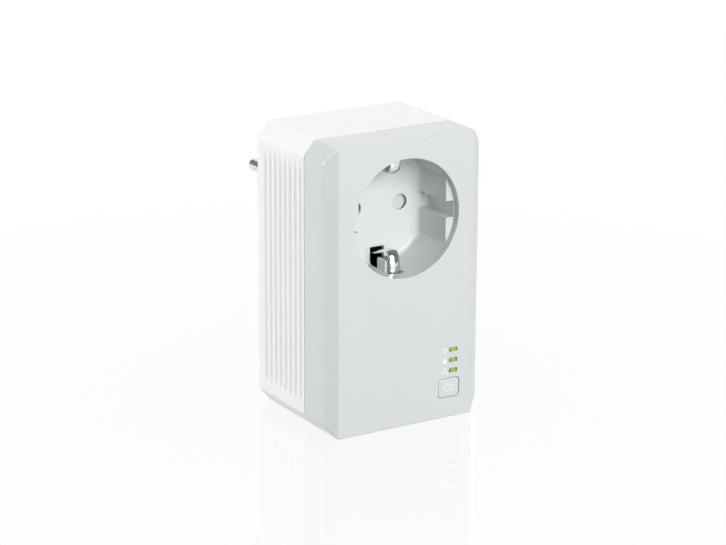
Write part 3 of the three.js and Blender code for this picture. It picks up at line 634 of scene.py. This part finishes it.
def flute_heights():
    """Heights along the side, closer together towards the ends where the flutes fade."""
    steps = 40
    half = HEIGHT / 2 - CORNER_HEIGHT - 1.5
    angles = [math.pi / 2 * (1 - 2 * i / steps) for i in range(steps + 1)]
    return [HEIGHT / 2 + half * math.sin(a) for a in angles]


def housing_ring(depth, inset=0.0):
    wave = flute_depth(depth) if inset == 0 else 0
    outline = body_outline(inset, groove=lambda z: wave * flute_share(z), heights=flute_heights())
    return at_depth(outline, depth)


def housing_skin():
    start = HOUSING_DEPTHS[0] - 0.15
    lip_end = SEAM + TONGUE + GAP
    rings = [
        housing_ring(BODY_DEPTH - WALL, WALL),
        housing_ring(lip_end, WALL),
        housing_ring(lip_end, 1),
        housing_ring(start, 1),
    ]
    rings += [housing_ring(start + along, shrink) for shrink, along in quarter_round(0.2, 3)]
    steps_per_flute = 10
    first = FLUTE_FIRST - FLUTE_PITCH / 2
    count = FLUTES * steps_per_flute
    rings += [housing_ring(first + FLUTE_PITCH * i / steps_per_flute) for i in range(count + 1)]
    for shrink, along in reversed(quarter_round(1.0)):
        rings.append(housing_ring(BODY_DEPTH - along, shrink))
    return loft("rear_housing_shell", rings)


def plinth_outline(shrink):
    half = PLINTH_HALF - shrink
    corner = half - PLINTH_CORNER + shrink * (2 - math.sqrt(2))
    ring = [(corner, half), (half, corner), (half, -corner), (corner, -half)]
    ring += [(-x, z) for x, z in reversed(ring)]
    return rounded([(x, AXIS_Z + z, 1.5) for x, z in ring])


def rear_housing():
    housing = housing_skin()
    near = HOUSING_DEPTHS[0]
    screws = case_screws()
    plinth = loft("plinth", [
        at_depth(plinth_outline(0), BODY_DEPTH - 1),
        *[at_depth(plinth_outline(s), PLINTH_FACE - a) for s, a in reversed(quarter_round(1.0))],
    ])
    tubes = [rod("tube", TUBE_RADIUS, near, BODY_DEPTH - 1, x, z, sides=48) for x, z in screws]
    weld(housing, plinth, *tubes)
    hollow = loft("hollow", [
        at_depth(plinth_outline(WALL), BODY_DEPTH - WALL - 1),
        at_depth(plinth_outline(WALL), PLINTH_FACE - WALL),
    ])
    boss_hole = rod("boss_hole", BOSS_RADIUS + GAP, BODY_DEPTH, PLINTH_FACE + 1)
    shanks = [rod("shank", SHANK_RADIUS, near - 1, CASE_SEAT + 1, x, z, sides=32) for x, z in screws]
    heads = [rod("head", HEAD_RADIUS, CASE_SEAT, BODY_DEPTH + 1, x, z, sides=48) for x, z in screws]
    jack_x, jack_depths, _ = span("jack_shield")
    across = (jack_x[0] - GAP, jack_x[1] + GAP)
    depths = (jack_depths[0] + JACK_LIP, jack_depths[1] + GAP)
    window = block("window", across, depths, (-1, WALL + 1))
    carve(housing, hollow, boss_hole, window, *shanks, *heads)
    dress(housing, "root", "housing_plastic", HOUSING, "rear_housing")


# ------------------------------------------------------------------ socket

def well_outline(radius, flat, shrink=0.0):
    """The socket's inside: a circle with a flat on each side, and a key groove in each flat."""
    radius -= max(shrink, 0)
    flat -= shrink
    reach = KEY_REACH - max(shrink, 0)
    half = KEY_HALF - shrink / 2
    return flat_sided(radius, flat, reach, half, 48)


def well_tool():
    """What is taken out of the well below its ledge, with drafted sides and a rounded floor edge."""
    fillet = 1.6
    ledge_edge = 0.25
    rings = [at_depth(well_outline(WELL_RADIUS, LEDGE_FLAT, -ledge_edge), LEDGE - 0.5)]
    rings += [
        at_depth(well_outline(WELL_RADIUS, LEDGE_FLAT, -shrink), LEDGE + along)
        for shrink, along in quarter_round(ledge_edge, 3)
    ]
    for shrink, along in reversed(quarter_round(fillet)):
        rings.append(at_depth(well_outline(WELL_RADIUS, FLOOR_FLAT, shrink), WELL_FLOOR - along))
    return loft("well_tool", rings)


def pin_hole_tools():
    tools = []
    for side in (-1, 1):
        x = side * PIN_OFFSET
        far = WELL_FLOOR + 4
        tools.append(opening(
            "pin_hole", lambda grow: circle(PIN_HOLE + grow, x, sides=64), WELL_FLOOR, far, 0.2,
        ))
        tools.append(rod("relief", PIN_HOLE + 0.9, WELL_FLOOR + 0.7, far, x, sides=64))
    return tools


def from_axis(end, near, far):
    """Heights between two distances from the socket's axis, towards one end of the body."""
    return sorted((AXIS_Z + end * near, AXIS_Z + end * far))


def clip_opening(end):
    """The way out for a clip, from the floor to the place where its tip goes through the wall."""
    across = (-CLIP_WINDOW_HALF, CLIP_WINDOW_HALF)
    heights = from_axis(end, CLIP_SLOT_INNER, WELL_X[1] + 2)
    return block("opening", across, (CLIP_WINDOW_NEAR, FLOOR_BACK + 2), heights, 0.2)


def clip_saddle(end):
    """The rib under a clip, which closes the middle of its opening."""
    half = CLIP_WINDOW_HALF + 0.15
    heights = from_axis(end, SADDLE_REACH, WELL_RADIUS + 1.7)
    return block("saddle", (-half, half), (SADDLE_NEAR, SADDLE_FAR), heights, 0.3)


def socket_well():
    near = WELL_DEPTHS[0]
    flange = near + 1.8
    outer = WELL_RADIUS + 2
    chamfer = 0.5
    outside = [
        (WELL_X[1], near), (WELL_X[1], flange), (outer, flange),
        (outer, FLOOR_BACK - chamfer), (outer - chamfer, FLOOR_BACK),
    ]
    well = turned("socket_well_shell", outside, sides=128)
    mouth = rod("mouth", WELL_RADIUS, near - 1, LEDGE, sides=128)
    carve(well, mouth, well_tool(), *pin_hole_tools(), clip_opening(-1), clip_opening(1))
    weld(well, clip_saddle(-1), clip_saddle(1))
    dress(well, "root", "cover_plastic", WELL, "socket_well")


def socket_shutter():
    near = FLOOR_BACK + GAP
    far = near + 1.6
    edge = 0.2
    shutter = rod("shutter_rotor", 4.4, near, far, edge=edge, sides=64)
    arm = block("arm", (-PIN_OFFSET, PIN_OFFSET), (near, far), (AXIS_Z - 2.6, AXIS_Z + 2.6), edge)
    lobe = PIN_HOLE + 0.7
    lobes = [rod("lobe", lobe, near, far, side * PIN_OFFSET, edge=edge, sides=64) for side in (-1, 1)]
    spindle = rod("spindle", 2, near + 0.5, span("socket_shutter")[1][1], edge=edge, sides=48)
    weld(shutter, arm, *lobes, spindle)
    dress(shutter, "shutter", "shutter_plastic", SHUTTER, "socket_shutter")


CLIP_ROUTE = (
    (27.5, 17.3), (22, 16.9), (18.5, 16.2), (15, 15.1), (12, 14.2),
    (10, 14.2), (8.4, 15.8), (7.6, 19), (7.5, 23.4),
)


def earth_clip(name, end):
    """A sprung strap that leaves the floor, bows towards the axis and dives through the wall."""
    route = [(depth, AXIS_Z + end * reach) for depth, reach in CLIP_ROUTE]
    clip = strip("earth_clip_strap_" + name, route, 2 * CLIP_HALF, 0.8, crown=0.45 * end)
    dress(clip, "earth_clip_" + name, "nickel", NICKEL, "socket_earth_clip_" + name)


# ------------------------------------------------------------------ plug

def boss_outline(shrink):
    """The plug's section: a circle with flat sides and a rib in the middle of each flat."""
    radius = BOSS_RADIUS - shrink
    flat = BOSS_FLAT - shrink
    half = BOSS_RIB - shrink
    reach = math.sqrt(radius ** 2 - half ** 2)
    return flat_sided(radius, flat, reach, half, 40)


def plug_body():
    near, face = PLUG_DEPTHS
    rings = [at_depth(boss_outline(0), near)]
    rings += [at_depth(boss_outline(s), face - a) for s, a in reversed(quarter_round(0.8))]
    body = loft("plug_boss", rings)
    inside = PLINTH_FACE - WALL - GAP
    weld(body, rod("flange", PLUG_X[1], inside - 2.5, inside, edge=0.3))
    tools = [rod("cavity", 12.7, near - 1, face - 3)]
    for side in (-1, 1):
        x = side * PIN_OFFSET
        tools.append(rod("pin_hole", PIN_RADIUS + 0.15, face - 4, face + 1, x, sides=64))
        heights = from_axis(side, 15.2, BOSS_RADIUS + 3)
        tools.append(block("slot", (-3.7, 3.7), (near - 1, face + 1), heights, 0.2))
    carve(body, *tools)
    dress(body, "root", "plug_plastic", PLUG, "plug_body")


def plug_pin(name, side):
    near, tip = PIN_DEPTHS
    nose = [(PIN_RADIUS * math.cos(a), tip - PIN_RADIUS * (1 - math.sin(a)))
            for a in [math.pi / 2 * i / 12 for i in range(12)]]
    profile = [(PIN_RADIUS - 0.3, near), (PIN_RADIUS, near + 0.3), *nose, (0.1, tip)]
    pin = turned("plug_pin_" + name + "_turned", profile, side * PIN_OFFSET, 64)
    dress(pin, "root", "nickel", NICKEL, "plug_pin_" + name)


STRIP_ROUTE = ((50.5, 16), (58, 16), (63, 16.6), (68, 16.6), (73.6, 16))


def plug_earth_strip(name, end):
    route = [(depth, AXIS_Z + end * reach) for depth, reach in STRIP_ROUTE]
    piece = strip("plug_earth_contact_" + name, route, 6, 1)
    dress(piece, "root", "nickel", NICKEL, "plug_earth_strip_" + name)


# ------------------------------------------------------------------ button, lights and symbols

def pair_button():
    width, height = BUTTON_SIZE

    def outline(shrink):
        corner = max(BUTTON_CORNER - shrink, 0.3)
        return rectangle(BUTTON_X, BUTTON_Z, width - 2 * shrink, height - 2 * shrink, corner)

    def skirt_outline(shrink):
        across = width + 1.3 - 2 * shrink
        high = height + 1.6 - 2 * shrink
        return rectangle(BUTTON_X, BUTTON_Z, across, high, 1.1)

    front = SETBACK + 0.02
    back = 3.2
    crown = BUTTON_CROWN
    rings = [at_depth(outline(0), back)]
    rings += [at_depth(outline(s), front + crown + a) for s, a in reversed(quarter_round(0.3))]
    steps = 5
    for i in range(1, steps + 1):
        share = i / steps
        shrink = 0.3 + (height / 2 - 0.8) * share
        rings.append(at_depth(outline(shrink), front + crown * (1 - share) ** 2))
    button = loft("pair_button_cap", rings)
    skirt = prism("skirt", skirt_outline, WALL + GAP, 3.6, 0.15)
    stem = rod("stem", 1.8, 3, BUTTON_DEPTHS[1], BUTTON_X, BUTTON_Z, 0.2, 48)
    weld(button, skirt, stem)
    dress(button, "button", "button_plastic", BUTTON, "pair_button")


def light_guides():
    for name in LIGHTS:
        x, z, width, height = light_place(name)
        near, far = span("light_guide_" + name)[1]

        def outline(shrink):
            return rectangle(x, z, width - 2 * shrink, height - 2 * shrink, max(0.45 - shrink, 0.1))

        guide = prism("light_guide_" + name + "_lens", outline, near + SETBACK, far, 0.12)
        dress(guide, "root", "green_light", lit_acrylic("lit_" + name, x), "light_guide_" + name)


def ring_band(outer, inner, x, z, start=0.0, end=2 * math.pi, steps=32):
    """An outline that runs round a ring or an arc of one."""
    outside = arc((x, z), outer, start, end, steps)
    inside = arc((x, z), inner, start, end, steps)
    return outside + inside[::-1]


def bar(x0, z0, x1, z1, half):
    start = Vector((x0, z0))
    end = Vector((x1, z1))
    side = (end - start).normalized().orthogonal() * half
    return [tuple(start + side), tuple(start - side), tuple(end - side), tuple(end + side)]


def mark(name, outlines, depth, body, look=None, slot="housing_plastic"):
    """A printed mark: thin raised shapes on the surface, made as one piece."""
    shape = bmesh.new()
    for outline in outlines:
        back = [shape.verts.new(place((x, depth, z))) for x, z in outline]
        front = [shape.verts.new(place((x, depth - PRINT_HEIGHT, z))) for x, z in outline]
        count = len(outline)
        for i in range(count):
            j = (i + 1) % count
            shape.faces.new((back[i], back[j], front[j], front[i]))
        shape.faces.new(front)
        shape.faces.new(back)
    piece = to_piece(name, shape)
    dress(piece, body, slot, look or PRINT)


def symbols():
    """Plain symbols beside the lights, and a pair of rings on the button."""
    half = 0.16
    heights = [light_place(name)[1] for name in LIGHTS]
    depth = SETBACK + 0.005
    x, z = SYMBOL_X, heights[0]
    power = [
        ring_band(0.95, 0.63, x, z, math.radians(120), math.radians(420)),
        bar(x, z + 0.15, x, z + 1.15, half),
    ]
    mark("symbol_power", power, depth, "root")
    z = heights[1]
    house = [
        [(x - 1.1, z), (x, z + 1.1), (x + 1.1, z), (x + 0.75, z), (x, z + 0.7), (x - 0.75, z)],
        [(x - 0.7, z - 0.1), (x - 0.7, z - 1), (x + 0.7, z - 1), (x + 0.7, z - 0.1), (x, z + 0.5)],
    ]
    mark("symbol_powerline", house, depth, "root")
    z = heights[2]
    dots = ((0, 0.8), (-0.85, -0.65), (0.85, -0.65))
    network = [circle(0.42, x + across, z + up, 24) for across, up in dots]
    network += [bar(x, z + 0.5, x + across, z - 0.4, 0.11) for across in (-0.75, 0.75)]
    mark("symbol_ethernet", network, depth, "root")
    rings = [ring_band(1.25, 0.95, BUTTON_X + dx, BUTTON_Z, steps=40) for dx in (-0.75, 0.75)]
    mark("symbol_pair", rings, SETBACK + 0.05, "button")


# ------------------------------------------------------------------ carried-over CAD nodes

CARRIED = {
    "inner_plastic": INNER, "dark_plastic": DARK, "nickel": NICKEL, "contact_brass": BRASS,
    "bar_copper": COPPER, "screw_steel": STEEL, "spring_steel": SPRING, "ferrite": FERRITE,
    "board_laminate": LAMINATE, "chip_epoxy": EPOXY, "aluminium": ALUMINIUM, "yellow_box": YELLOW,
    "capacitor_sleeve": SLEEVE, "winding_tape": TAPE, "blue_coating": BLUE, "fuse_glass": GLASS,
    "ribbon_jacket": RIBBON, "clear_led": LED,
}


def dress_cad_nodes():
    """Gives every CAD node that still shows its finish and softly broken edges."""
    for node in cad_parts.values():
        if node.hide_render:
            continue
        slot = node.data.materials[0].name.split(".")[0]
        node.data.materials[0] = CARRIED[slot]
        merge = node.modifiers.new("merge", "WELD")
        merge.merge_threshold = 0.001 * MM
        flatten = node.modifiers.new("flatten", "DECIMATE")
        flatten.decimate_type = "DISSOLVE"
        flatten.angle_limit = math.radians(1)
        bevel = node.modifiers.new("edges", "BEVEL")
        bevel.width = 0.12 * MM
        bevel.segments = 2
        bevel.limit_method = "ANGLE"
        bevel.angle_limit = math.radians(40)


# ------------------------------------------------------------------ camera, light and floor

AMBIENT = 0.18


def add_camera():
    data = bpy.data.cameras.new("camera")
    data.sensor_width = 36
    data.lens = 132.2
    camera = bpy.data.objects.new("camera", data)
    bpy.context.scene.collection.objects.link(camera)
    azimuth = math.radians(31.48)
    elevation = math.radians(17.19)
    distance = 0.9568
    level = math.cos(elevation)
    ahead = Vector((math.sin(azimuth) * level, math.cos(azimuth) * level, -math.sin(elevation)))
    aim = place((0, 29.31, 49.28))
    camera.location = aim - ahead * distance
    roll = Matrix.Rotation(math.radians(0.24), 3, "Z")
    camera.rotation_euler = (ahead.to_track_quat("-Z", "Y").to_matrix() @ roll).to_euler()
    bpy.context.scene.camera = camera


def softbox(name, azimuth, elevation, distance, size, strength):
    """An area light on a sphere round the object, facing it. Azimuth 0 is in front, 90 to the right."""
    data = bpy.data.lights.new(name, "AREA")
    data.shape = "RECTANGLE"
    data.size, data.size_y = size
    data.energy = strength
    light = bpy.data.objects.new(name, data)
    light.visible_camera = False
    bpy.context.scene.collection.objects.link(light)
    a, e = math.radians(azimuth), math.radians(elevation)
    out = Vector((math.sin(a) * math.cos(e), -math.cos(a) * math.cos(e), math.sin(e)))
    light.location = place((0, 25, 50)) + out * distance
    light.rotation_euler = (-out).to_track_quat("-Z", "Y").to_euler()


def add_floor():
    shape = bmesh.new()
    reach = 3
    for x, y in ((-reach, -reach), (reach, -reach), (reach, reach), (-reach, reach)):
        shape.verts.new((x, y, 0))
    shape.faces.new(shape.verts)
    mesh = bpy.data.meshes.new("floor")
    shape.to_mesh(mesh)
    shape.free()
    floor = new_piece("floor", mesh)
    made = bpy.data.materials.new("floor_white")
    made.use_nodes = True
    nodes = made.node_tree.nodes
    links = made.node_tree.links
    nodes.clear()
    glow = nodes.new("ShaderNodeEmission")
    gloss = nodes.new("ShaderNodeBsdfGlossy")
    gloss.inputs["Roughness"].default_value = 0.03
    mix = nodes.new("ShaderNodeMixShader")
    coordinates = nodes.new("ShaderNodeTexCoord")
    length = nodes.new("ShaderNodeVectorMath")
    length.operation = "LENGTH"
    fade = nodes.new("ShaderNodeMapRange")
    fade.inputs["From Min"].default_value = 0.04
    fade.inputs["From Max"].default_value = 0.3
    fade.inputs["To Min"].default_value = 0.14
    fade.inputs["To Max"].default_value = 0.0
    output = nodes.new("ShaderNodeOutputMaterial")
    links.new(coordinates.outputs["Object"], length.inputs[0])
    links.new(length.outputs["Value"], fade.inputs["Value"])
    links.new(fade.outputs["Result"], mix.inputs["Fac"])
    links.new(glow.outputs["Emission"], mix.inputs[1])
    links.new(gloss.outputs["BSDF"], mix.inputs[2])
    links.new(mix.outputs["Shader"], output.inputs["Surface"])
    floor.data.materials.append(made)
    floor.visible_diffuse = False
    floor.visible_shadow = False


def add_world():
    """A white backdrop behind the object, seen by the floor, and a dim room round the rest."""
    world = bpy.data.worlds.new("studio")
    bpy.context.scene.world = world
    world.use_nodes = True
    nodes = world.node_tree.nodes
    links = world.node_tree.links
    coordinates = nodes.new("ShaderNodeTexCoord")
    toward = nodes.new("ShaderNodeVectorMath")
    toward.operation = "DOT_PRODUCT"
    toward.inputs[1].default_value = Vector((0.5, 0.81, 0.3)).normalized()
    backdrop = nodes.new("ShaderNodeMapRange")
    backdrop.inputs["From Min"].default_value = math.cos(math.radians(36))
    backdrop.inputs["From Max"].default_value = math.cos(math.radians(26))
    backdrop.inputs["To Min"].default_value = AMBIENT
    backdrop.inputs["To Max"].default_value = 1.0
    paths = nodes.new("ShaderNodeLightPath")
    strength = nodes.new("ShaderNodeMath")
    strength.operation = "MAXIMUM"
    background = nodes["Background"]
    background.inputs["Color"].default_value = (1, 1, 1, 1)
    links.new(coordinates.outputs["Generated"], toward.inputs[0])
    links.new(toward.outputs["Value"], backdrop.inputs["Value"])
    links.new(backdrop.outputs["Result"], strength.inputs[0])
    links.new(paths.outputs["Is Camera Ray"], strength.inputs[1])
    links.new(strength.outputs["Value"], background.inputs["Strength"])


def add_lights():
    softbox("front_softbox", 0, 20, 1.2, (0.7, 0.9), 15)
    softbox("left_softbox", -125, 21, 1.2, (0.5, 0.9), 12)
    softbox("low_softbox", -125, -42, 1.2, (0.6, 0.5), 3.6)
    softbox("top_softbox", 150, 60, 1.2, (0.7, 0.7), 3)
    softbox("right_softbox", 120, 12, 1.2, (0.5, 0.9), 5)


# ------------------------------------------------------------------ everything

add_camera()
add_floor()
add_world()
add_lights()
bpy.context.scene.view_settings.view_transform = "Standard"

front_cover()
rear_housing()
socket_well()
socket_shutter()
for end_name, end_side in (("lower", -1), ("upper", 1)):
    earth_clip(end_name, end_side)
    plug_earth_strip(end_name, end_side)
plug_body()
for pin_name, pin_side in (("left", -1), ("right", 1)):
    plug_pin(pin_name, pin_side)
pair_button()
light_guides()
symbols()
dress_cad_nodes()
